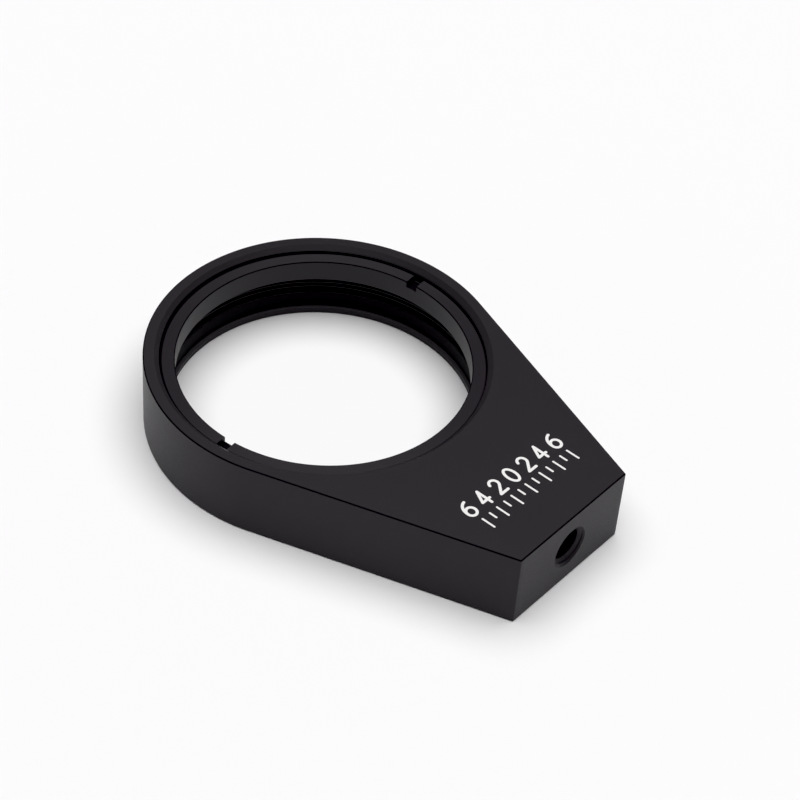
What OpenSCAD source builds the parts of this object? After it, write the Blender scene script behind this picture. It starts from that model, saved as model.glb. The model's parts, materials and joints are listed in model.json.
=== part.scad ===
// Fixed mount for a round lens: a turned and milled body with a threaded bore,
// and the slotted ring that screws down the bore onto the lens.
// Millimetres. The origin is on the bore axis, in the plane of the lens seat.
// +Z runs from the seat up to the ring, and +X runs to the flat end with the post hole.

/* [Lens] */
// Diameter of the round lens that the mount holds
lens_d = 30; // [20:0.5:50]
// Gap all round between the lens and its pocket
lens_clearance = 0.05; // [0.02:0.01:0.15]

/* [Body] */
// Thickness of the body, from base to top face
thickness = 8; // [6:0.5:16]
// Wall of the head outside the bore's thread
head_wall = 1.5; // [1:0.1:6]
// Distance from the bore axis to the flat end face
end_distance = 30; // [25:0.5:60]
// Width of the flat end face
end_width = 15; // [8:0.5:26]
// Bevel on the outer edges of the top and the base
edge_break = 0.1; // [0.05:0.05:0.5]

/* [Lens seat] */
// Thickness of the lip that the lens rests on
lip_t = 0.7; // [0.4:0.1:2]
// How far the lip reaches in under the edge of the lens
lip_reach = 0.25; // [0.1:0.05:2]
// Depth of the smooth pocket above the lip, up to the shoulder
pocket_depth = 1.75; // [1:0.05:2.2]

/* [Bore thread] */
// Step from the lens radius out to the full radius of the thread
thread_step = 0.5; // [0.4:0.05:1.5]
// Pitch of the bore's thread
thread_pitch = 0.5; // [0.35:0.05:0.7]
// Bevel at the mouth of the bore, outside the full radius of the thread
mouth_bevel = 0.42; // [0.1:0.02:0.9]

/* [Retaining ring] */
// Height of the ring
ring_height = 2.3; // [1.5:0.1:2.8]
// How far the ring reaches in over the edge of the lens
ring_reach = 1; // [0.4:0.1:3]
// Depth of the ring's top face below the top face of the body
ring_recess = 0.72; // [0.1:0.02:1]
// Running gap all round between the ring's thread and the bore's thread
ring_clearance = 0.05; // [0.02:0.01:0.09]
// Bevel on the outer edge of the ring's top face
ring_bevel = 0.15; // [0.05:0.05:0.4]
// Width of the two spanner slots
slot_w = 1.2; // [0.6:0.1:3]
// Depth of the spanner slots
slot_depth = 0.65; // [0.3:0.05:1.2]
// Direction of the line through both slots, from +X towards +Y
slot_angle = 95; // [0:1:180]

/* [Post hole] */
// Full diameter of the thread in the end face
post_d = 4; // [3:0.5:5]
// Pitch of the post thread
post_pitch = 0.7; // [0.5:0.1:0.8]
// Depth of the full-size drilled hole
post_depth = 8; // [4:0.5:10]
// Bevel at the mouth of the hole, outside the full radius of the thread
post_bevel = 0.2; // [0.05:0.05:0.5]

/* [Hidden] */
$fn = 180;

// Length by which a cutting solid runs past the face that it opens.
past = 1;
// Included angle of the drill point at the bottom of the post hole.
point_angle = 118;
// Share of the pitch from a 60 degree thread's full radius in to its mean radius.
mean_share = 0.3248;

base_z = -lip_t;
top_z = base_z + thickness;
lens_r = lens_d / 2;
pocket_r = lens_r + lens_clearance;
lip_r = lens_r - lip_reach;

// Both threads are plain cylinders at the mean radius of their flanks.
thread_r = lens_r + thread_step;
bore_r = thread_r - mean_share * thread_pitch;
mouth_r = thread_r + mouth_bevel;
mouth_depth = mouth_r - bore_r;
head_r = thread_r + head_wall;

ring_outer_r = bore_r - ring_clearance;
ring_inner_r = lens_r - ring_reach;
ring_top_z = top_z - ring_recess;
ring_bottom_z = ring_top_z - ring_height;

post_drill_r = (post_d - post_pitch) / 2;
post_mouth_r = post_d / 2 + post_bevel;
post_mouth_depth = post_mouth_r - post_drill_r;
post_z = base_z + thickness / 2;

// The straight flanks touch the round head where a line from the end's corner is tangent to it.
corner = [end_distance, end_width / 2];
tangent_angle = atan2(corner.y, corner.x) + acos(head_r / norm(corner));
tangent = head_r * [cos(tangent_angle), sin(tangent_angle)];
flank_points = [[tangent.x, -tangent.y], [corner.x, -corner.y], corner, tangent];

// Round head, a disc with its top and bottom edges bevelled.
module head() {
    rotate_extrude()
        polygon([
            [0, base_z],
            [head_r - edge_break, base_z],
            [head_r, base_z + edge_break],
            [head_r, top_z - edge_break],
            [head_r - edge_break, top_z],
            [0, top_z]
        ]);
}

// Wedge that bevels the top edge from point a to point b, with the solid on its left.
module top_edge_cut(a, b) {
    run = b - a;
    translate([a.x, a.y, 0])
        rotate([0, 0, atan2(run.y, run.x)])
            translate([-past, 0, 0])
                rotate([90, 0, 90])
                    linear_extrude(norm(run) + 2 * past)
                        polygon([
                            [-past, top_z - edge_break - past],
                            [edge_break + past, top_z + past],
                            [-past, top_z + past]
                        ]);
}

// Tail that narrows from the head to the flat end, with its outer edges bevelled.
// Its inner corner lies inside the bore, so its inner sides meet the head's edge almost squarely.
module tail() {
    middle_z = (base_z + top_z) / 2;
    difference() {
        translate([0, 0, base_z])
            linear_extrude(thickness)
                polygon([[head_r / 6, 0], each flank_points]);
        for (side = [0, 1], i = [0 : 2])
            translate([0, 0, middle_z])
                mirror([0, 0, side])
                    translate([0, 0, -middle_z])
                        top_edge_cut(flank_points[i], flank_points[i + 1]);
    }
}

// Stepped bore: lip opening, lens pocket, threaded length and bevelled mouth.
module lens_bore() {
    rotate_extrude()
        polygon([
            [0, base_z - past],
            [lip_r, base_z - past],
            [lip_r, 0],
            [pocket_r, 0],
            [pocket_r, pocket_depth],
            [bore_r, pocket_depth],
            [bore_r, top_z - mouth_depth],
            [mouth_r + past, top_z + past],
            [0, top_z + past]
        ]);
}

// Tapped blind hole in the end face, with a bevelled mouth and a drill point.
module post_hole() {
    point_depth = post_drill_r / tan(point_angle / 2);
    translate([end_distance, 0, post_z])
        rotate([0, -90, 0])
            rotate_extrude()
                polygon([
                    [0, -past],
                    [post_mouth_r + past, -past],
                    [post_drill_r, post_mouth_depth],
                    [post_drill_r, post_depth],
                    [0, post_depth + point_depth]
                ]);
}

// Body, one milled piece.
module mount_body() {
    color([0.19, 0.18, 0.19])
        difference() {
            union() {
                head();
                tail();
            }
            lens_bore();
            post_hole();
        }
}

// Retaining ring, a threaded ring with two slots for a spanner across its top.
module retaining_ring() {
    slot_length = 2 * (ring_outer_r + past);
    color([0.24, 0.23, 0.24])
        difference() {
            rotate_extrude()
                polygon([
                    [ring_inner_r, ring_bottom_z],
                    [ring_outer_r, ring_bottom_z],
                    [ring_outer_r, ring_top_z - ring_bevel],
                    [ring_outer_r - ring_bevel, ring_top_z],
                    [ring_inner_r, ring_top_z]
                ]);
            rotate([0, 0, slot_angle])
                translate([-slot_length / 2, -slot_w / 2, ring_top_z - slot_depth])
                    cube([slot_length, slot_w, slot_depth + past]);
        }
}

mount_body();
retaining_ring();
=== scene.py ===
"""Looks of a fixed optical lens mount.

The mount is a teardrop body in bead-blasted black anodised aluminium, with a stepped and
threaded bore at its round end and a tapped post hole in its flat end. A slotted retaining
ring rides in the bore's thread. Lengths are in metres unless a name ends in _mm.
"""

import json
import logging
import math
from dataclasses import dataclass
from enum import Enum

import bmesh
import bpy
import numpy as np
from mathutils import Matrix, Vector


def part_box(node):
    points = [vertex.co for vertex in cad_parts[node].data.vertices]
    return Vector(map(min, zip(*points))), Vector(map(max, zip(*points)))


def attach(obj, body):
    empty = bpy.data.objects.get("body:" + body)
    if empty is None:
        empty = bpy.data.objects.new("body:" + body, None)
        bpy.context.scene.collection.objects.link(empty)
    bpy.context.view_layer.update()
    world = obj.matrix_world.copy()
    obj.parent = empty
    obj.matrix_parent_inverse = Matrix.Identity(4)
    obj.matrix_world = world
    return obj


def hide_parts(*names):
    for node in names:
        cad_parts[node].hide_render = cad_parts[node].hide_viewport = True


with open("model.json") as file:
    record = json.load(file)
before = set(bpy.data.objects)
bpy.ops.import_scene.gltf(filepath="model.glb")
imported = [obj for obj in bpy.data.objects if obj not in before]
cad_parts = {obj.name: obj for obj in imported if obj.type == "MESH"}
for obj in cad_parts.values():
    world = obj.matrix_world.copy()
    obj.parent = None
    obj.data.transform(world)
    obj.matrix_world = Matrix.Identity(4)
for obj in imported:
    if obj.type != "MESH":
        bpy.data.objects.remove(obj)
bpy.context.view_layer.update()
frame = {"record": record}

MM = 0.001
TURN = 2.0 * math.pi
BORE_PITCH = 0.5 * MM
# How far the bottom of the bore's thread lies outside the pocket's wall.
SHOULDER = 0.45 * MM
# Depth of a 60 degree thread as a share of its pitch.
THREAD_DEPTH = 0.5413
LOG = logging.getLogger("lens_mount")

Array = np.ndarray
Section = list[tuple[Array, Array]]
Nodes = bpy.types.NodeTree
Socket = bpy.types.NodeSocket


# ---------------------------------------------------------------- meshes


def steady(value: Array | float, count: int) -> Array:
    """Gives a radius or height as one number for each column.

    Args:
        value: One number for every column, or the columns' own numbers.
        count: Number of columns.

    Returns:
        An array of that many numbers.
    """
    return np.broadcast_to(np.asarray(value, float), (count,))


def grid_faces(rows: int, columns: int, wrap: bool) -> Array:
    """Numbers the four corners of every cell of a grid of points.

    Args:
        rows: Number of rows of points.
        columns: Number of columns of points.
        wrap: Whether the last row joins the first.

    Returns:
        One row of four point numbers for each cell.
    """
    low = np.arange(rows if wrap else rows - 1)
    high = (low + 1) % rows
    left = np.arange(columns - 1)
    corners = (
        low[:, None] * columns + left,
        low[:, None] * columns + left + 1,
        high[:, None] * columns + left + 1,
        high[:, None] * columns + left,
    )
    return np.stack(corners, axis=-1).reshape(-1, 4)


def mesh_object(name: str, points: Array, faces: Array) -> bpy.types.Object:
    """Makes an object at the origin from points and four-cornered faces.

    Args:
        name: The object's name.
        points: One row of x, y and z for each point.
        faces: One row of four point numbers for each face.

    Returns:
        The object, linked to the scene.
    """
    mesh = bpy.data.meshes.new(name)
    mesh.vertices.add(len(points))
    mesh.vertices.foreach_set("co", points.astype(np.float32).ravel())
    mesh.loops.add(faces.size)
    mesh.loops.foreach_set("vertex_index", faces.astype(np.int32).ravel())
    mesh.polygons.add(len(faces))
    mesh.polygons.foreach_set("loop_start", np.arange(0, faces.size, 4, dtype=np.int32))
    mesh.update(calc_edges=True)
    made = bpy.data.objects.new(name, mesh)
    bpy.context.scene.collection.objects.link(made)
    return made


def close_seams(target: bpy.types.Object, is_solid: bool = True, reach: float = 1e-7) -> None:
    """Merges points that coincide, drops faces with no area and turns faces outwards.

    Args:
        target: The object whose mesh is closed in place.
        is_solid: Whether every edge has to end up between two faces.
        reach: Distance within which two points are one.

    Raises:
        ValueError: If an edge of a solid still has one face or more than two.
    """
    work = bmesh.new()
    work.from_mesh(target.data)
    bmesh.ops.remove_doubles(work, verts=work.verts, dist=reach)
    bmesh.ops.dissolve_degenerate(work, edges=work.edges, dist=reach)
    bmesh.ops.recalc_face_normals(work, faces=work.faces)
    open_edges = sum(1 for edge in work.edges if not edge.is_manifold)
    work.to_mesh(target.data)
    work.free()
    if is_solid and open_edges:
        raise ValueError(f"{target.name} has {open_edges} open edges")


def shade(target: bpy.types.Object, crease_deg: float = 9.0) -> None:
    """Shades a mesh smooth, apart from edges that bend by more than the crease angle.

    Args:
        target: The object whose mesh is shaded.
        crease_deg: Smallest bend of a sharp edge, in degrees.
    """
    target.data.shade_smooth()
    target.data.set_sharp_from_angle(angle=math.radians(crease_deg))


def dress(target: bpy.types.Object, material: bpy.types.Material) -> None:
    """Shades a finished piece and gives it its only material."""
    shade(target)
    target.data.materials.clear()
    target.data.materials.append(material)


class Join(Enum):
    """What happens to a target when it meets another solid."""

    ADD = "UNION"
    CUT = "DIFFERENCE"


def join(target: bpy.types.Object, tool: bpy.types.Object, how: Join) -> None:
    """Adds a closed tool to a closed target, or cuts it out, and removes the tool.

    Args:
        target: The object that is changed.
        tool: The object that is added or cut out.
        how: Whether the tool is added or cut out.
    """
    step = target.modifiers.new("join", "BOOLEAN")
    step.operation = how.value
    step.solver = "MANIFOLD"
    step.object = tool
    graph = bpy.context.evaluated_depsgraph_get()
    solid = bpy.data.meshes.new_from_object(target.evaluated_get(graph))
    target.modifiers.clear()
    target.data = solid
    bpy.data.objects.remove(tool)


# ---------------------------------------------------------------- shapes


@dataclass(frozen=True)
class ScrewThread:
    """A right-handed 60 degree thread, seen as the wall of the hole that it is cut in.

    Attributes:
        pitch: Advance in one turn.
        full_r: Radius at the bottom of the groove, away from the axis.
        depth: How far the ridge stands in towards the axis.
        start: Height at which a ridge crosses angle 0.
    """

    pitch: float
    full_r: float
    depth: float
    start: float

    # Shares of one pitch at which the profile has a point: the ridge's flat is a quarter of
    # the pitch and the groove's an eighth, with a point halfway down each flank.
    PHASES = np.array([0, 1 / 8, 9 / 32, 7 / 16, 1 / 2, 9 / 16, 23 / 32, 7 / 8])

    def rows(self, low: float, high: float, angles: Array) -> tuple[Array, Array]:
        """Works out rows of points that climb with the thread between two flat ends.

        A row's height is start + pitch * (turns of the row + angle / one turn), held between
        low and high. A row that leaves the last angle goes on as a later row at angle 0.

        Args:
            low: Height of the lower end.
            high: Height of the upper end.
            angles: The columns' angles, over one whole turn.

        Returns:
            Heights, by row and column, and each row's radius as a column of numbers.
        """
        first = math.floor((low - self.start) / self.pitch) - 1
        last = math.ceil((high - self.start) / self.pitch)
        turns = (np.arange(first, last + 1)[:, None] + self.PHASES).reshape(-1, 1)
        heights = self.start + self.pitch * (turns + angles[None, :] / TURN)
        return np.clip(heights, low, high), self.wall(turns)

    def wall(self, turns: Array) -> Array:
        """Gives the wall's radius at a number of turns: a trapezoid wave, ridge at 0.

        Args:
            turns: Height above start in pitches, less the angle's share of a turn.

        Returns:
            The radius at each.
        """
        away = np.abs((turns + 0.5) % 1.0 - 0.5)
        ridge = np.clip((7 / 16 - away) / (7 / 16 - 1 / 8), 0.0, 1.0)
        return self.full_r - self.depth * ridge


def ease(share: Array) -> Array:
    """Eases from 0 to 1 with level ends, as 3 t squared - 2 t cubed."""
    held = np.clip(share, 0.0, 1.0)
    return held * held * (3.0 - 2.0 * held)


@dataclass(frozen=True)
class Teardrop:
    """Plan of the body: a round head, two flanks tangent to it and a flat end.

    Attributes:
        head_r: Radius of the round head about the bore axis.
        end_x: Distance from the bore axis to the flat end.
        half_end: Half the width of the flat end.
        corner_r: Radius of the two upright corners.
    """

    head_r: float
    end_x: float
    half_end: float
    corner_r: float

    @property
    def flank_angle(self) -> float:
        """Angle of the radius that meets the flank at right angles."""
        reach = math.hypot(self.end_x, self.half_end)
        return math.atan2(self.half_end, self.end_x) + math.acos(self.head_r / reach)

    @property
    def corner(self) -> tuple[float, float]:
        """Centre of the upright corner on the +Y side, clear of flank and end by its radius."""
        x = self.end_x - self.corner_r
        y = (self.head_r - self.corner_r - x * math.cos(self.flank_angle)) / math.sin(self.flank_angle)
        return x, y

    def radius(self, angles: Array, inset: float) -> Array:
        """Distance from the bore axis to the outline, taken in by an inset.

        The head is a circle. A flank or the end is a straight line at distance d, met at
        d / cos(angle to its normal), with that angle held below a right angle. A corner is
        where the ray leaves a circle.

        Args:
            angles: Directions from the bore axis.
            inset: How far the outline is taken in, square to itself.

        Returns:
            The distance in each direction.
        """
        turn = np.abs((angles + math.pi) % TURN - math.pi)
        flank = self.flank_angle
        widest = 1.4
        x, y = self.corner
        end = (self.end_x - inset) / np.cos(np.minimum(turn, widest))
        side = (self.head_r - inset) / np.cos(np.clip(turn - flank, -widest, widest))
        round_r = self.corner_r - inset
        along = x * np.cos(turn) + y * np.sin(turn)
        off = x * np.sin(turn) - y * np.cos(turn)
        corner = along + np.sqrt(np.maximum(round_r**2 - off**2, 0.0))
        end_of_end = math.atan2(y, self.end_x - inset)
        tip = (x + round_r * math.cos(flank), y + round_r * math.sin(flank))
        start_of_flank = math.atan2(tip[1], tip[0])
        return np.select(
            [turn <= end_of_end, turn < start_of_flank, turn < flank],
            [end, corner, side],
            self.head_r - inset,
        )

    def angles(self, step_deg: float) -> Array:
        """Directions for a mesh's columns: even steps, with more of them round the corners.

        Args:
            step_deg: Step between two columns, in degrees.

        Returns:
            Angles over one whole turn, both ends included.
        """
        x, y = self.corner
        lean = np.linspace(0.0, self.flank_angle, 5)
        bend = np.arctan2(y + self.corner_r * np.sin(lean), x + self.corner_r * np.cos(lean))
        own = np.concatenate((bend, [self.flank_angle]))
        even = np.radians(np.arange(0.0, 360.0 + step_deg / 2, step_deg))
        fixed = np.concatenate((own, TURN - own))
        near = np.abs(even[:, None] - fixed).min(axis=1) < math.radians(step_deg) * 0.3
        return np.unique(np.concatenate((even[~near], fixed)))


def broken_edge(size: float) -> list[tuple[float, float]]:
    """Points of an edge broken at 45 degrees, as (inset, drop) pairs from the face to the wall."""
    return [(size, 0.0), (0.0, size)]


def turned_solid(name: str, section: Section, angles: Array, wrap: bool = True) -> bpy.types.Object:
    """Carries a section round the Z axis: x = r cos(angle), y = r sin(angle), z as given.

    Args:
        name: The object's name.
        section: Radius and height of each row, as arrays by column.
        angles: The columns' angles.
        wrap: Whether the last row joins the first.

    Returns:
        The closed object.
    """
    radius = np.array([row[0] for row in section])
    height = np.array([row[1] for row in section])
    points = np.stack((radius * np.cos(angles), radius * np.sin(angles), height), axis=-1)
    faces = grid_faces(len(section), len(angles), wrap)
    made = mesh_object(name, points.reshape(-1, 3), faces)
    close_seams(made)
    return made


# ---------------------------------------------------------------- materials


def linear(code: str) -> tuple[float, float, float, float]:
    """Turns an sRGB colour such as "#1c1b1d" into linear red, green, blue and alpha."""
    parts = np.array([int(code[i : i + 2], 16) for i in (1, 3, 5)]) / 255.0
    lit = np.where(parts <= 0.04045, parts / 12.92, ((parts + 0.055) / 1.055) ** 2.4)
    return (*(float(c) for c in lit), 1.0)


def add_node(
    tree: Nodes, kind: str, settings: dict[str, object], inputs: dict[str | int, object]
) -> bpy.types.Node:
    """Adds a node with its settings, and fills or links its inputs.

    Args:
        tree: The node tree.
        kind: The node's type name.
        settings: Properties to set on the node.
        inputs: A value, or a socket to link, for each input by name or number.

    Returns:
        The node.
    """
    node = tree.nodes.new(kind)
    for key, value in settings.items():
        setattr(node, key, value)
    for key, value in inputs.items():
        if isinstance(value, Socket):
            tree.links.new(value, node.inputs[key])
        else:
            node.inputs[key].default_value = value
    return node


class Making(Enum):
    """How the bare metal was made before it was anodised."""

    BLASTED = "blasted outside, turned in the bore"
    TURNED = "turned all over"


@dataclass(frozen=True)
class Tone:
    """How one part of a piece looks: some tones are its finish, others are painted shade and light.

    Attributes:
        colour: Its colour.
        roughness: Its roughness.
        sheen_level: Strength of the mirror part of its light.
    """

    colour: str
    roughness: float
    sheen_level: float


# Painted shade: the pocket's wall below the ring is darkened, with its sheen nearly cut, for the shade
# under the ring.
POCKET_PAINTED_SHADE = Tone("#19171a", 0.5, 0.05)
# Painted shade: the bore's thread under the ring is darkened for the shade there.
THREAD_PAINTED_SHADE = Tone("#1f1c20", 0.4, 0.15)
# Painted light: the seat and the shoulder ledge are made paler, for light caught from above.
LEDGE_PAINTED_LIGHT = Tone("#423f43", 0.6, 0.2)
BORED = Tone("#29262a", 0.34, 0.19)
# Painted shade: the broken edges and the thread's seam at the mouth are darkened and lose their
# reflection.
EDGE_AND_SEAM_PAINTED_SHADE = Tone("#131114", 0.3, 0.0)
# Painted shade: the slots' floors are darkened for the shade in them.
SLOT_FLOOR_PAINTED_SHADE = Tone("#131114", 0.3, 0.02)


@dataclass(frozen=True)
class Zone:
    """A stretch of surface round the bore axis that differs from the rest: some in finish, most by
    painted shade and light.

    Attributes:
        low_mm: Lowest height.
        high_mm: Highest height.
        inner_mm: Smallest distance from the bore axis.
        outer_mm: Largest distance from the bore axis.
        tone: How it looks.
    """

    low_mm: float
    high_mm: float
    inner_mm: float
    outer_mm: float
    tone: Tone


def within(tree: Nodes, value: Socket, low: float, high: float) -> Socket:
    """Adds a node that gives 1 where a value lies between two limits, and 0 elsewhere."""
    middle, half = (low + high) / 2, (high - low) / 2
    settings = {"operation": "COMPARE"}
    return add_node(tree, "ShaderNodeMath", settings, {0: value, 1: middle, 2: half}).outputs[0]


@dataclass(frozen=True)
class BlackAnodise:
    """Black anodised aluminium: a dyed oxide film over blasted or turned metal.

    The eye sees the film, which isn't a metal: near-black, with a weak sheen that grows at
    a glancing view. Blasting gives it an even, fine grain. Turning leaves faint rings.

    Attributes:
        name: The material's name.
        making: How the metal was made.
        zones: Stretches that differ, later ones over earlier ones; most are painted shade and painted
            light.
        light: Colour of the paler patches of dye.
        deep: Colour of the deeper patches of dye.
        roughness: Roughness halfway between the grains' extremes.
        spread: Half the change in roughness from grain to grain.
        sheen_level: Strength of the mirror part of the light, weak over the porous film.
        stretch: How far turning lines draw a highlight out across themselves, from 0 to 1.
        grain_mm: Size of a blasting dent, drawn coarser than a likely 0.05 mm so it shows.
        ring_mm: Distance between two turning lines.
        patch_mm: Size of a patch of dye.
        relief_mm: Height of the grain.
        bore_r_mm: Radius inside which a blasted body is turned.
    """

    name: str
    making: Making
    zones: tuple[Zone, ...]
    light: str = "#2b282c"
    deep: str = "#272428"
    roughness: float = 0.42
    spread: float = 0.06
    sheen_level: float = 0.15
    stretch: float = 0.0
    grain_mm: float = 0.11
    ring_mm: float = 0.07
    patch_mm: float = 7.0
    relief_mm: float = 0.0016
    bore_r_mm: float = 15.95

    def material(self) -> bpy.types.Material:
        """Builds the material from its sizes in millimetres."""
        made = bpy.data.materials.new(self.name)
        made.use_nodes = True
        tree = made.node_tree
        shader = tree.nodes["Principled BSDF"]
        place = add_node(tree, "ShaderNodeTexCoord", {}, {}).outputs["Object"]
        axes = add_node(tree, "ShaderNodeSeparateXYZ", {}, {0: place}).outputs
        flat = add_node(tree, "ShaderNodeCombineXYZ", {}, {0: axes["X"], 1: axes["Y"]}).outputs[0]
        radial = add_node(
            tree, "ShaderNodeVectorMath", {"operation": "LENGTH"}, {0: flat}
        ).outputs["Value"]
        relief = self.relief(tree, place, radial, axes["Z"])
        colour = self.dye(tree, place)
        gloss = add_node(
            tree,
            "ShaderNodeMapRange",
            {},
            {
                "Value": relief,
                "From Min": 0.3,
                "From Max": 0.7,
                "To Min": self.roughness - self.spread,
                "To Max": self.roughness + self.spread,
            },
        ).outputs[0]
        sheen = add_node(tree, "ShaderNodeValue", {}, {}).outputs[0]
        sheen.default_value = self.sheen_level
        # Most zones paint shade and light into the colour.
        for zone in self.zones:
            here = add_node(
                tree,
                "ShaderNodeMath",
                {"operation": "MULTIPLY"},
                {
                    0: within(tree, axes["Z"], zone.low_mm * MM, zone.high_mm * MM),
                    1: within(tree, radial, zone.inner_mm * MM, zone.outer_mm * MM),
                },
            ).outputs[0]
            colour = add_node(
                tree,
                "ShaderNodeMix",
                {"data_type": "RGBA"},
                {"Factor": here, 6: colour, 7: linear(zone.tone.colour)},
            ).outputs[2]
            gloss = add_node(
                tree, "ShaderNodeMix", {}, {"Factor": here, "A": gloss, "B": zone.tone.roughness}
            ).outputs[0]
            sheen = add_node(
                tree, "ShaderNodeMix", {}, {"Factor": here, "A": sheen, "B": zone.tone.sheen_level}
            ).outputs[0]
        bump = add_node(
            tree,
            "ShaderNodeBump",
            {},
            {"Height": relief, "Distance": self.relief_mm * MM, "Strength": 1.0},
        )
        tree.links.new(colour, shader.inputs["Base Color"])
        tree.links.new(gloss, shader.inputs["Roughness"])
        tree.links.new(sheen, shader.inputs["Specular IOR Level"])
        tree.links.new(bump.outputs[0], shader.inputs["Normal"])
        if self.stretch:
            shader.inputs["Anisotropic"].default_value = self.stretch
            tree.links.new(self.across_lines(tree, axes), shader.inputs["Tangent"])
        return made

    def across_lines(self, tree: Nodes, axes: bpy.types.NodeOutputs) -> Socket:
        """Adds the direction across the turning lines: (-y, x, 0) crossed with the normal.

        Args:
            tree: The material's nodes.
            axes: Position in the piece, as separate X, Y and Z.

        Returns:
            The direction, in the world.
        """
        minus_y = add_node(
            tree, "ShaderNodeMath", {"operation": "MULTIPLY"}, {0: axes["Y"], 1: -1.0}
        ).outputs[0]
        along = add_node(tree, "ShaderNodeCombineXYZ", {}, {0: minus_y, 1: axes["X"]}).outputs[0]
        normal = add_node(tree, "ShaderNodeTexCoord", {}, {}).outputs["Normal"]
        across = add_node(
            tree, "ShaderNodeVectorMath", {"operation": "CROSS_PRODUCT"}, {0: along, 1: normal}
        ).outputs[0]
        unit = add_node(
            tree, "ShaderNodeVectorMath", {"operation": "NORMALIZE"}, {0: across}
        ).outputs[0]
        settings = {"vector_type": "VECTOR", "convert_from": "OBJECT", "convert_to": "WORLD"}
        return add_node(tree, "ShaderNodeVectorTransform", settings, {0: unit}).outputs[0]

    def relief(
        self,
        tree: Nodes,
        place: Socket,
        radial: Socket,
        height: Socket,
    ) -> Socket:
        """Adds the grain: turning lines that follow the bore axis, or blasting dents.

        Args:
            tree: The material's nodes.
            place: Position in the piece.
            radial: Distance from the bore axis.
            height: Height in the piece.

        Returns:
            The grain's height from 0 to 1.
        """
        rings = add_node(tree, "ShaderNodeCombineXYZ", {}, {0: radial, 1: height}).outputs[0]
        turned = add_node(
            tree,
            "ShaderNodeTexNoise",
            {},
            {"Vector": rings, "Scale": 1 / (self.ring_mm * MM), "Detail": 1.0},
        ).outputs["Fac"]
        if self.making is Making.TURNED:
            return turned
        blasted = add_node(
            tree,
            "ShaderNodeTexNoise",
            {},
            {"Vector": place, "Scale": 1 / (self.grain_mm * MM), "Detail": 2.0, "Roughness": 0.6},
        ).outputs["Fac"]
        inside = within(tree, radial, 0.0, self.bore_r_mm * MM)
        return add_node(
            tree, "ShaderNodeMix", {}, {"Factor": inside, "A": blasted, "B": turned}
        ).outputs[0]

    def dye(self, tree: Nodes, place: Socket) -> Socket:
        """Adds the dye's colour, which drifts a little from patch to patch."""
        patches = add_node(
            tree,
            "ShaderNodeTexNoise",
            {},
            {"Vector": place, "Scale": 1 / (self.patch_mm * MM), "Detail": 3.0},
        ).outputs["Fac"]
        return add_node(
            tree,
            "ShaderNodeMix",
            {"data_type": "RGBA"},
            {"Factor": patches, 6: linear(self.deep), 7: linear(self.light)},
        ).outputs[2]


@dataclass(frozen=True)
class LaserBleach:
    """Laser-marked anodise: the beam bleaches the dye to a chalky white, in close hatch lines.

    Attributes:
        name: The material's name.
        white: Colour on a hatch line.
        grey: Colour between two hatch lines.
        hatch_mm: Distance between hatch lines, drawn coarser than a likely 0.03 mm.
    """

    name: str = "laser_bleached_anodise"
    white: str = "#f4f3f2"
    grey: str = "#dddcdb"
    hatch_mm: float = 0.09

    def material(self) -> bpy.types.Material:
        """Builds the material, with hatch lines along Y."""
        made = bpy.data.materials.new(self.name)
        made.use_nodes = True
        tree = made.node_tree
        shader = tree.nodes["Principled BSDF"]
        place = add_node(tree, "ShaderNodeTexCoord", {}, {}).outputs["Object"]
        hatch = add_node(
            tree,
            "ShaderNodeTexWave",
            {"wave_type": "BANDS", "bands_direction": "X"},
            {"Vector": place, "Scale": TURN / (20 * self.hatch_mm * MM), "Distortion": 0.4},
        )
        colour = add_node(
            tree,
            "ShaderNodeMix",
            {"data_type": "RGBA"},
            {"Factor": hatch.outputs["Fac"], 6: linear(self.grey), 7: linear(self.white)},
        )
        tree.links.new(colour.outputs[2], shader.inputs["Base Color"])
        shader.inputs["Roughness"].default_value = 0.8
        shader.inputs["Specular IOR Level"].default_value = 0.2
        return made


@dataclass(frozen=True)
class StudioPaper:
    """White studio paper: matte, with no shine of its own."""

    name: str = "studio_paper"
    white: str = "#f6f5f6"

    def material(self) -> bpy.types.Material:
        """Builds the material."""
        made = bpy.data.materials.new(self.name)
        made.use_nodes = True
        shader = made.node_tree.nodes["Principled BSDF"]
        shader.inputs["Base Color"].default_value = linear(self.white)
        shader.inputs["Roughness"].default_value = 1.0
        shader.inputs["Specular IOR Level"].default_value = 0.0
        return made


# ---------------------------------------------------------------- the mount's pieces


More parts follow.
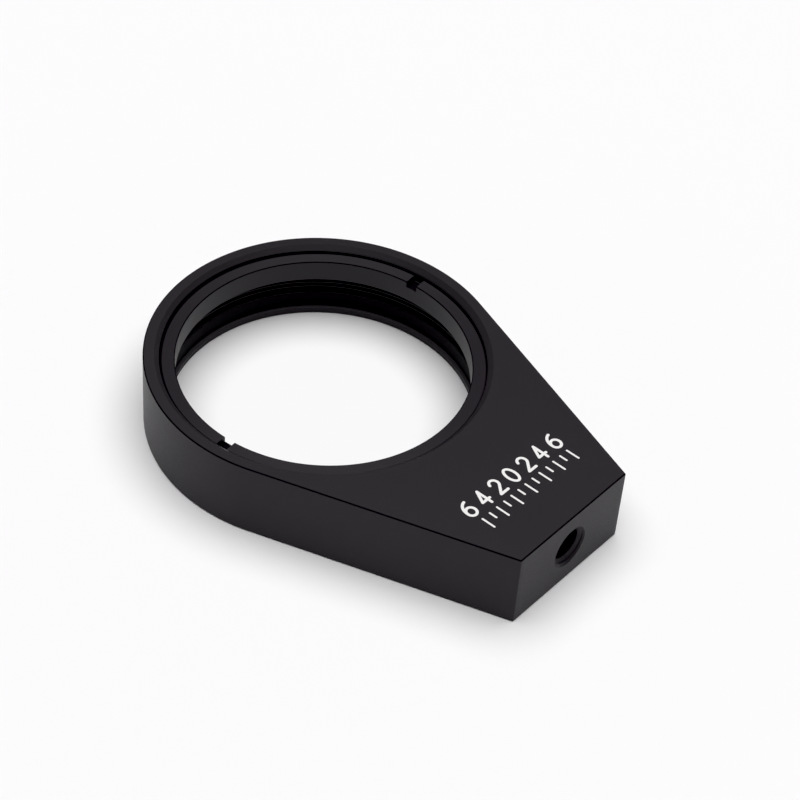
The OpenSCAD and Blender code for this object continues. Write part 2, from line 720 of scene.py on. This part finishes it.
@dataclass
class MountBody:
    """The body: outline, edges, stepped bore with its thread, and the tapped post hole.

    Attributes:
        low: Lowest corner of the CAD body.
        high: Highest corner of the CAD body.
        seat: The record's lens seat mount.
        post: The record's post hole mount.
        thread: The bore's thread.
        half_end: Half the width of the flat end.
        corner_r: Radius of the two upright corners.
        edge: Size of the broken outer edges.
        small_edge: Size of the broken edges in the bore.
        lip_reach: How far the lip stands in from the pocket's wall.
        mouth_bevel: Size of the bevel at the bore's mouth.
        thread_start: Height in which the bore's thread rises to its full depth.
        mark_depth: How far the top face lies below the mark's face.
        post_r: Radius at the bottom of the post hole's thread.
        post_pitch: Pitch of the post hole's thread.
        post_bevel: How far the post hole's bevel stands out from its thread.
        post_tail: Length of plain drilled hole past the thread.
        point_half_angle: Half the angle of the drill's point.
        past: How far a cutter runs on past a face.
        step_deg: Step between two columns of points.
        post_columns: Number of steps round the post hole.
    """

    low: Vector
    high: Vector
    seat: dict
    post: dict
    thread: ScrewThread
    half_end: float = 7.5 * MM
    corner_r: float = 0.12 * MM
    edge: float = 0.12 * MM
    small_edge: float = 0.06 * MM
    lip_reach: float = 0.3 * MM
    mouth_bevel: float = 0.42 * MM
    thread_start: float = 0.28 * MM
    mark_depth: float = 0.004 * MM
    post_r: float = 2.0 * MM
    post_pitch: float = 0.7 * MM
    post_bevel: float = 0.15 * MM
    post_tail: float = 1.0 * MM
    point_half_angle: float = math.radians(59)
    past: float = 1.0 * MM
    step_deg: float = 1.0
    post_columns: int = 96

    def section(self, plan: Teardrop, angles: Array) -> Section:
        """Lists the body's section, from the bore's mouth out, down, in and up the bore.

        Args:
            plan: The body's outline.
            angles: The columns' angles.

        Returns:
            Radius and height of each row.
        """
        count = len(angles)
        top, base = self.high.z - self.mark_depth, self.low.z
        mouth_r = self.thread.full_r + self.mouth_bevel
        pocket_r = self.seat["dims"]["r_mm"] * MM
        pocket_top = self.seat["dims"]["length_mm"] * MM
        lip_r = pocket_r - self.lip_reach
        small = self.small_edge
        outer = broken_edge(self.edge)
        rows = [(mouth_r, top)]
        rows += [(plan.radius(angles, inset), top - drop) for inset, drop in outer]
        rows += [(plan.radius(angles, inset), base + drop) for inset, drop in reversed(outer)]
        rows += [(lip_r + small, base), (lip_r, base + small)]
        rows += [(lip_r, -small), (lip_r + small, 0.0)]
        rows += [(pocket_r, 0.0), (pocket_r, pocket_top - small), (pocket_r + small, pocket_top)]
        heights, wall = self.thread.rows(pocket_top, top - self.mouth_bevel, angles)
        ridge = ease((heights - pocket_top) / self.thread_start)
        radius = self.thread.full_r - (self.thread.full_r - wall) * ridge
        cone = mouth_r - (top - heights)
        rows += list(zip(np.maximum(radius, cone), heights))
        return [(steady(r, count), steady(z, count)) for r, z in rows]

    def post_tap(self) -> bpy.types.Object:
        """Makes the shape that the drill, tap and bevel tool leave as the post hole.

        The rows run along the hole's axis as heights do on a standing hole, and the finished
        shape is turned so that its Z points along +X.

        Returns:
            The closed shape, to be cut from the body.
        """
        drill_r = self.post["dims"]["r_mm"] * MM
        mouth_x = self.high.x
        mouth_r = self.post_r + self.post_bevel
        bevel_in = mouth_r - drill_r
        bottom_x = mouth_x - bevel_in - self.post["dims"]["length_mm"] * MM
        point_x = bottom_x - drill_r / math.tan(self.point_half_angle)
        tap = ScrewThread(self.post_pitch, self.post_r, self.post_r - drill_r, mouth_x)
        angles = np.linspace(0.0, TURN, self.post_columns + 1)
        low = bottom_x + self.post_tail
        heights, wall = tap.rows(low, mouth_x - self.post_bevel, angles)
        fade = ease((heights - low) / self.post_pitch)
        radius = drill_r + (wall - drill_r) * fade
        cone = mouth_r - (mouth_x - heights)
        rows = [(0.0, point_x), (drill_r, bottom_x)]
        rows += list(zip(np.maximum(radius, cone), heights))
        rows += [(mouth_r + self.past, mouth_x + self.past), (0.0, mouth_x + self.past)]
        count = len(angles)
        section = [(steady(r, count), steady(x, count)) for r, x in rows]
        tool = turned_solid("post_tap", section, angles, wrap=False)
        stand = Matrix.Translation((0, 0, self.post["pos_m"][2])) @ Matrix.Rotation(math.pi / 2, 4, "Y")
        tool.data.transform(stand)
        return tool

    def build(self, finish: BlackAnodise) -> bpy.types.Object:
        """Makes the body, cuts its post hole and dresses it.

        Args:
            finish: The body's finish.

        Returns:
            The finished piece.
        """
        plan = Teardrop(min(-self.low.x, self.high.y), self.high.x, self.half_end, self.corner_r)
        angles = plan.angles(self.step_deg)
        body = turned_solid("anodised_body", self.section(plan, angles), angles)
        join(body, self.post_tap(), Join.CUT)
        close_seams(body)
        dress(body, finish.material())
        return body


@dataclass
class RetainingRing:
    """The slotted ring, with its outside thread in step with the bore's.

    Attributes:
        low: Lowest corner of the CAD ring.
        high: Highest corner of the CAD ring.
        bore: The thread that the ring screws into.
        inner_r: Radius of the ring's bore.
        gap: Clearance between the ring's thread and the bore's.
        top_r: Radius of the top face's outer edge.
        base_r: Radius of the underside's outer edge.
        thread_start: Height in which the thread rises to its full depth below the top.
        edge: Size of the broken inner edges.
        slot_width: Width of the slots.
        slot_depth: Depth of the slots.
        slot_angle: Direction of the line through both slots, from +X towards +Y.
        past: How far the cutter runs on past a face.
        step_deg: Step between two columns of points.
    """

    low: Vector
    high: Vector
    bore: ScrewThread
    inner_r: float = 14.0 * MM
    gap: float = 0.05 * MM
    top_r: float = 15.22 * MM
    base_r: float = 15.1 * MM
    thread_start: float = 0.16 * MM
    edge: float = 0.1 * MM
    slot_width: float = 1.2 * MM
    slot_depth: float = 0.65 * MM
    slot_angle: float = math.radians(95)
    past: float = 1.0 * MM
    step_deg: float = 1.0

    def section(self, angles: Array) -> Section:
        """Lists the ring's section, from its inner edge out, up the thread and back in.

        Args:
            angles: The columns' angles.

        Returns:
            Radius and height of each row.
        """
        count = len(angles)
        base, top = self.low.z, self.high.z
        edge = broken_edge(self.edge)
        rows = [(self.inner_r + inset, base + rise) for inset, rise in reversed(edge)]
        heights, wall = self.bore.rows(base, top, angles)
        start = ease((top - heights) / self.thread_start)
        threaded = self.top_r + (wall - self.gap - self.top_r) * start
        rows += list(zip(np.minimum(threaded, self.base_r + heights - base), heights))
        rows += [(self.inner_r + inset, top - drop) for inset, drop in edge]
        return [(steady(r, count), steady(z, count)) for r, z in rows]

    def slot_cutter(self) -> bpy.types.Object:
        """Makes the bar that a milling cutter sweeps across the ring's top face."""
        half_length = self.bore.full_r + self.past
        sides = np.array([-0.5, 0.5])
        x, y, z = np.meshgrid(
            sides * 2 * half_length,
            sides * self.slot_width,
            (self.high.z - self.slot_depth, self.high.z + self.past),
            indexing="ij",
        )
        corners = np.stack((x, y, z), axis=-1).reshape(-1, 3)
        turn = Matrix.Rotation(self.slot_angle, 3, "Z")
        faces = np.array(
            [(0, 1, 3, 2), (4, 6, 7, 5), (0, 4, 5, 1), (2, 3, 7, 6), (0, 2, 6, 4), (1, 5, 7, 3)]
        )
        bar = mesh_object("slot_cutter", corners @ np.array(turn).T, faces)
        close_seams(bar)
        return bar

    def build(self, finish: BlackAnodise) -> bpy.types.Object:
        """Makes the ring, cuts its slots and dresses it.

        Args:
            finish: The ring's finish.

        Returns:
            The finished piece.
        """
        angles = np.radians(np.arange(0.0, 360.0 + self.step_deg / 2, self.step_deg))
        ring = turned_solid("anodised_ring", self.section(angles), angles)
        join(ring, self.slot_cutter(), Join.CUT)
        close_seams(ring)
        dress(ring, finish.material())
        return ring


def arc(centre: tuple[float, float], radii: tuple[float, float], start: float, end: float) -> Array:
    """Gives points along part of an ellipse: centre + radii * (cos t, sin t).

    Args:
        centre: The ellipse's centre.
        radii: Its two radii.
        start: First value of t, in degrees.
        end: Last value of t, in degrees.

    Returns:
        One row of two numbers for every 12 degrees or so.
    """
    turn = np.radians(np.linspace(start, end, max(3, round(abs(end - start) / 12) + 1)))
    return np.stack((centre[0] + radii[0] * np.cos(turn), centre[1] + radii[1] * np.sin(turn)), axis=-1)


def digit_strokes(digit: str) -> list[Array]:
    """Lists the strokes of a plain digit in a box 0.6 wide and 1 high, from its lower left.

    Args:
        digit: One of 0, 2, 4 and 6.

    Returns:
        Each stroke as a line of (across, up) points.
    """
    if digit == "0":
        return [arc((0.3, 0.5), (0.3, 0.5), 90, 270), arc((0.3, 0.5), (0.3, 0.5), -90, 90)]
    if digit == "2":
        bowl = arc((0.3, 0.71), (0.28, 0.29), 165, -38)
        return [bowl, np.array([bowl[-1], (0.0, 0.0)]), np.array([(0.0, 0.0), (0.6, 0.0)])]
    if digit == "4":
        return [
            np.array([(0.42, 0.0), (0.42, 1.0)]),
            np.array([(0.42, 1.0), (0.0, 0.28)]),
            np.array([(0.0, 0.28), (0.6, 0.28)]),
        ]
    loop = [arc((0.3, 0.3), (0.3, 0.3), 0, 180), arc((0.3, 0.3), (0.3, 0.3), 180, 360)]
    return [*loop, arc((0.62, 0.36), (0.62, 0.64), 180, 98)]


@dataclass
class LaserMark:
    """A plain millimetre scale beside the bore, with 0 on the mount's middle line.

    It is drawn in its own plan: across runs along +Y, and up runs along -X to the bore.

    Attributes:
        top: Height of the mark's face.
        reach_mm: Number of millimetres on each side of 0.
        digit_every: Number of millimetres from one digit to the next.
        digit_height: Height of a digit.
        digit_width: Width of the box in which a digit fills 0.6.
        digit_foot_x: Distance from the bore axis to the digits' feet.
        tick_head_x: Distance from the bore axis to the ticks' heads.
        long_tick: Length of a tick under a digit.
        short_tick: Length of a tick between digits.
        digit_stroke: Width of a digit's stroke.
        tick_stroke: Width of a tick.
        depth: How deep the strokes reach into the body.
        digit_share: Share of the digit's box that a digit fills across.
        end_points: Number of points round a quarter of a stroke's end.
    """

    top: float
    reach_mm: int = 6
    digit_every: int = 2
    digit_height: float = 1.75 * MM
    digit_width: float = 1.6 * MM
    digit_foot_x: float = 23.6 * MM
    tick_head_x: float = 24.35 * MM
    long_tick: float = 1.35 * MM
    short_tick: float = 0.75 * MM
    digit_stroke: float = 0.28 * MM
    tick_stroke: float = 0.2 * MM
    depth: float = 0.03 * MM
    digit_share: float = 0.6
    end_points: int = 7

    def strokes(self) -> list[tuple[Array, float]]:
        """Lists the scale's strokes as lines of (across, up) points, each with its width."""
        lines: list[tuple[Array, float]] = []
        for place in range(-self.reach_mm, self.reach_mm + 1):
            across = place * MM
            numbered = place % self.digit_every == 0
            length = self.long_tick if numbered else self.short_tick
            tick = [(across, -self.tick_head_x), (across, -self.tick_head_x - length)]
            lines.append((np.array(tick), self.tick_stroke))
            if numbered:
                scale = np.array([self.digit_width, self.digit_height])
                left = across - self.digit_share / 2 * self.digit_width
                foot = np.array([left, -self.digit_foot_x])
                for stroke in digit_strokes(str(abs(place))):
                    lines.append((foot + stroke * scale, self.digit_stroke))
        return lines

    def ribbon(self, line: Array, width: float) -> bpy.types.Object:
        """Gives a stroke its width and depth, with round ends.

        The line is carried half a width past both ends, where the half width falls away as
        the side of a circle does, so each end closes to a point.

        Args:
            line: The stroke's (across, up) points.
            width: The stroke's width.

        Returns:
            A closed slab.
        """
        half = width / 2
        bend = np.linspace(0.0, math.pi / 2, self.end_points)
        run = np.diff(line, axis=0)
        first, last = run[0] / np.linalg.norm(run[0]), run[-1] / np.linalg.norm(run[-1])
        head = line[0] - first * half * np.cos(bend)[:, None]
        tail = line[-1] + last * half * np.cos(bend[::-1])[:, None]
        path = np.concatenate((head, line[1:-1], tail))
        widths = np.concatenate(
            (half * np.sin(bend), np.full(len(line) - 2, half), half * np.sin(bend[::-1]))
        )
        along = np.gradient(path, axis=0)
        along /= np.linalg.norm(along, axis=1)[:, None]
        side = np.stack((-along[:, 1], along[:, 0]), axis=-1) * widths[:, None]
        edges = np.stack((path + side, path - side, path - side, path + side))
        height = np.array([self.top, self.top, self.top - self.depth, self.top - self.depth])
        points = np.empty((*edges.shape[:2], 3))
        points[..., 0] = -edges[..., 1]
        points[..., 1] = edges[..., 0]
        points[..., 2] = height[:, None]
        made = mesh_object("stroke", points.reshape(-1, 3), grid_faces(4, len(path), wrap=True))
        close_seams(made)
        return made

    def build(self, finish: LaserBleach) -> bpy.types.Object:
        """Makes all the strokes as one piece and dresses it.

        Args:
            finish: The mark's finish.

        Returns:
            The finished piece.
        """
        slabs = [self.ribbon(line, width) for line, width in self.strokes()]
        mark = slabs[0]
        mark.name = "laser_scale"
        for slab in slabs[1:]:
            join(mark, slab, Join.ADD)
        close_seams(mark)
        dress(mark, finish.material())
        return mark


# ---------------------------------------------------------------- studio


@dataclass
class Studio:
    """White paper that sweeps up into a low wall, one large soft light and the camera.

    Attributes:
        floor_z: Height of the mount's base.
        floor_gap: How far the paper lies below the base.
        flat_r: Radius of the flat paper.
        sweep_r: Radius of the paper's climb.
        wall_z: Height of the wall's top over the paper.
        key_place: Where the soft light hangs.
        key_aim: What the soft light points at.
        key_size: Diameter of the soft light.
        key_watts: Power of the soft light.
        sky: Colour of the room's dim light.
        black_point: Level at which the contrast curve reaches black.
        eye: The camera's place.
        aim: What the camera points at.
        roll_deg: Turn of the camera about its own axis.
        lens_mm: Focal length on a sensor of sensor_mm.
        sensor_mm: Width of the sensor.
    """

    floor_z: float
    floor_gap: float = 0.02 * MM
    flat_r: float = 1.6
    sweep_r: float = 0.45
    wall_z: float = 0.5
    key_place: tuple[float, float, float] = (0.0, 0.04, 1.6)
    key_aim: tuple[float, float, float] = (0.006, 0.0, 0.0)
    key_size: float = 2.1
    key_watts: float = 37.0
    sky: str = "#262627"
    black_point: float = 0.006
    eye: tuple[float, float, float] = (0.10746, -0.1266, 0.15962)
    aim: tuple[float, float, float] = (0.006633, 0.003576, 0.0033)
    roll_deg: float = 4.98
    lens_mm: float = 107.97
    sensor_mm: float = 36.0

    def floor(self, paper: StudioPaper) -> None:
        """Lays the paper, a hair below the base so that the two don't share a plane.

        Round the middle it is flat. Then it climbs as a quarter of a circle, on to the
        wall's top: r = flat_r + sweep_r sin t, z = sweep_r (1 - cos t).

        Args:
            paper: The paper's finish.
        """
        angles = np.radians(np.arange(0.0, 361.0, 5.0))
        bend = np.linspace(0.0, math.pi / 2, 13)
        radius = np.concatenate(([0.0, 0.2], self.flat_r + self.sweep_r * np.sin(bend)))
        climb = np.concatenate(([0.0, 0.0], self.sweep_r * (1 - np.cos(bend))))
        radius, climb = np.append(radius, radius[-1]), np.append(climb, self.wall_z)
        points = np.stack(
            (
                radius[:, None] * np.cos(angles),
                radius[:, None] * np.sin(angles),
                np.repeat(self.floor_z - self.floor_gap + climb[:, None], len(angles), axis=1),
            ),
            axis=-1,
        )
        faces = grid_faces(len(radius), len(angles), wrap=False)
        floor = mesh_object("floor", points.reshape(-1, 3), faces)
        close_seams(floor, is_solid=False)
        dress(floor, paper.material())

    def lights(self) -> None:
        """Hangs the soft light over the mount and sets the room's dim light."""
        lamp = bpy.data.lights.new("key", "AREA")
        lamp.shape = "DISK"
        lamp.size = self.key_size
        lamp.energy = self.key_watts
        key = bpy.data.objects.new("key", lamp)
        bpy.context.scene.collection.objects.link(key)
        key.location = self.key_place
        down = Vector(self.key_aim) - Vector(self.key_place)
        key.rotation_euler = down.to_track_quat("-Z", "Y").to_euler()
        world = bpy.data.worlds.new("room")
        world.use_nodes = True
        world.node_tree.nodes["Background"].inputs["Color"].default_value = linear(self.sky)
        bpy.context.scene.world = world

    def camera(self) -> None:
        """Stands the camera at its place, aims it and rolls it about its own axis."""
        data = bpy.data.cameras.new("camera")
        data.lens = self.lens_mm
        data.sensor_width = self.sensor_mm
        data.clip_start = 0.01
        camera = bpy.data.objects.new("camera", data)
        bpy.context.scene.collection.objects.link(camera)
        forward = Vector(self.aim) - Vector(self.eye)
        turn = forward.to_track_quat("-Z", "Y").to_matrix().to_4x4()
        roll = Matrix.Rotation(math.radians(self.roll_deg), 4, "Z")
        camera.matrix_world = Matrix.Translation(self.eye) @ turn @ roll
        bpy.context.scene.camera = camera

    def exposure(self) -> None:
        """Sets plain colour, with the contrast curve's foot cut off at the black point."""
        view = bpy.context.scene.view_settings
        view.view_transform = "Standard"
        view.use_curve_mapping = True
        view.curve_mapping.black_level = (self.black_point,) * 3
        view.curve_mapping.update()


def body_zones(low: Vector, high: Vector, seat: dict) -> tuple[Zone, ...]:
    """Lists where the body's colour carries painted shade and painted light.

    The bore is darkened to deep black below the ring and where its thread meets the mouth, as
    painted shade, and its two faced ledges are made paler, as painted light. The broken edges
    are painted as dark lines of shade. The tones are chosen: what gives a real mount each of
    them isn't known.

    Args:
        low: Lowest corner of the CAD body.
        high: Highest corner of the CAD body.
        seat: The record's lens seat mount.

    Returns:
        The zones.
    """
    pocket_r, pocket_top = seat["dims"]["r_mm"], seat["dims"]["length_mm"]
    base, top = low.z / MM, high.z / MM
    inside, pocket_wall, groove = pocket_r - 0.15, pocket_r + 0.15, pocket_r + 0.55
    clear, rim, beyond = 14.0, 16.2, 40.0
    thin, edge, mouth_low = 0.03, 0.12, top - 0.43
    return (
        # Painted shade: the pocket below the ring.
        Zone(thin, pocket_top, inside, pocket_wall, POCKET_PAINTED_SHADE),
        # Painted shade: the thread's stretch of the bore, under the ring.
        Zone(pocket_top, mouth_low, inside, groove, THREAD_PAINTED_SHADE),
        # Painted shade: the seam where the bore's thread meets the mouth, beside the ring.
        Zone(top - 0.9, mouth_low - 0.09, inside, groove, EDGE_AND_SEAM_PAINTED_SHADE),
        # Painted shade: dark lines on the top and bottom outer broken edges.
        Zone(top - edge - 0.002, top - 0.008, rim, beyond, EDGE_AND_SEAM_PAINTED_SHADE),
        Zone(base + 0.004, base + edge - 0.002, rim, beyond, EDGE_AND_SEAM_PAINTED_SHADE),
        # Painted light on the seat and on the shoulder ledge.
        Zone(-thin, thin, clear, pocket_r + 0.1, LEDGE_PAINTED_LIGHT),
        Zone(pocket_top - thin, pocket_top + thin, inside, groove, LEDGE_PAINTED_LIGHT),
        # Painted shade: a dark line on the lip's broken foot.
        Zone(base - 0.01, base + 0.06, clear, inside, EDGE_AND_SEAM_PAINTED_SHADE),
    )


def ring_zones(low: Vector, high: Vector, slot_depth_mm: float) -> tuple[Zone, ...]:
    """Lists where the ring's finish differs, and where shade is painted into its colour.

    Its bored inner wall is the smoothest face. Its broken edges and the milled floors of its
    slots are painted dark, as painted shade. The tones are chosen.

    Args:
        low: Lowest corner of the CAD ring.
        high: Highest corner of the CAD ring.
        slot_depth_mm: Depth of the slots.

    Returns:
        The zones.
    """
    base, top = low.z / MM, high.z / MM
    floor = top - slot_depth_mm
    edge, thin, wall = 0.1, 0.02, 14.004
    return (
        Zone(base + edge, top - edge, wall - 0.104, wall, BORED),
        # Painted shade: a dark line on the ring's broken top inner edge.
        Zone(top - edge + 0.002, top - 0.004, wall, wall + 0.136, EDGE_AND_SEAM_PAINTED_SHADE),
        # Painted shade: the slots' floors.
        Zone(floor - thin, floor + thin, wall, wall + 1.496, SLOT_FLOOR_PAINTED_SHADE),
    )


def report(piece: bpy.types.Object) -> None:
    """Logs a piece's name and its number of triangles."""
    triangles = sum(len(face.vertices) - 2 for face in piece.data.polygons)
    LOG.info("%s: %d triangles", piece.name, triangles)


def main() -> None:
    """Builds the pieces in order, puts each on its CAD body and sets the studio."""
    logging.basicConfig(level=logging.INFO, format="%(name)s: %(message)s")
    mounts = {mount["name"]: mount for mount in frame["record"]["mounts"]}
    low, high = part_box("mount_body")
    ring_low, ring_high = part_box("retaining_ring")
    seat = mounts["lens_seat"]
    full_r = seat["dims"]["r_mm"] * MM + SHOULDER
    depth = THREAD_DEPTH * BORE_PITCH
    thread = ScrewThread(BORE_PITCH, full_r, depth, seat["dims"]["length_mm"] * MM)

    body = MountBody(low, high, seat, mounts["post_hole"], thread).build(
        BlackAnodise("blasted_black_anodise", Making.BLASTED, body_zones(low, high, seat))
    )
    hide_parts("mount_body")
    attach(body, "mount")
    report(body)

    ring_maker = RetainingRing(ring_low, ring_high, thread)
    ring = ring_maker.build(
        BlackAnodise(
            "turned_black_anodise",
            Making.TURNED,
            ring_zones(ring_low, ring_high, ring_maker.slot_depth / MM),
            roughness=0.4,
            spread=0.05,
            stretch=0.6,
        )
    )
    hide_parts("retaining_ring")
    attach(ring, "ring")
    report(ring)

    mark = LaserMark(high.z).build(LaserBleach())
    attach(mark, "mount")
    report(mark)

    studio = Studio(low.z)
    studio.floor(StudioPaper())
    studio.lights()
    studio.camera()
    studio.exposure()


if __name__ == "__main__":
    main()
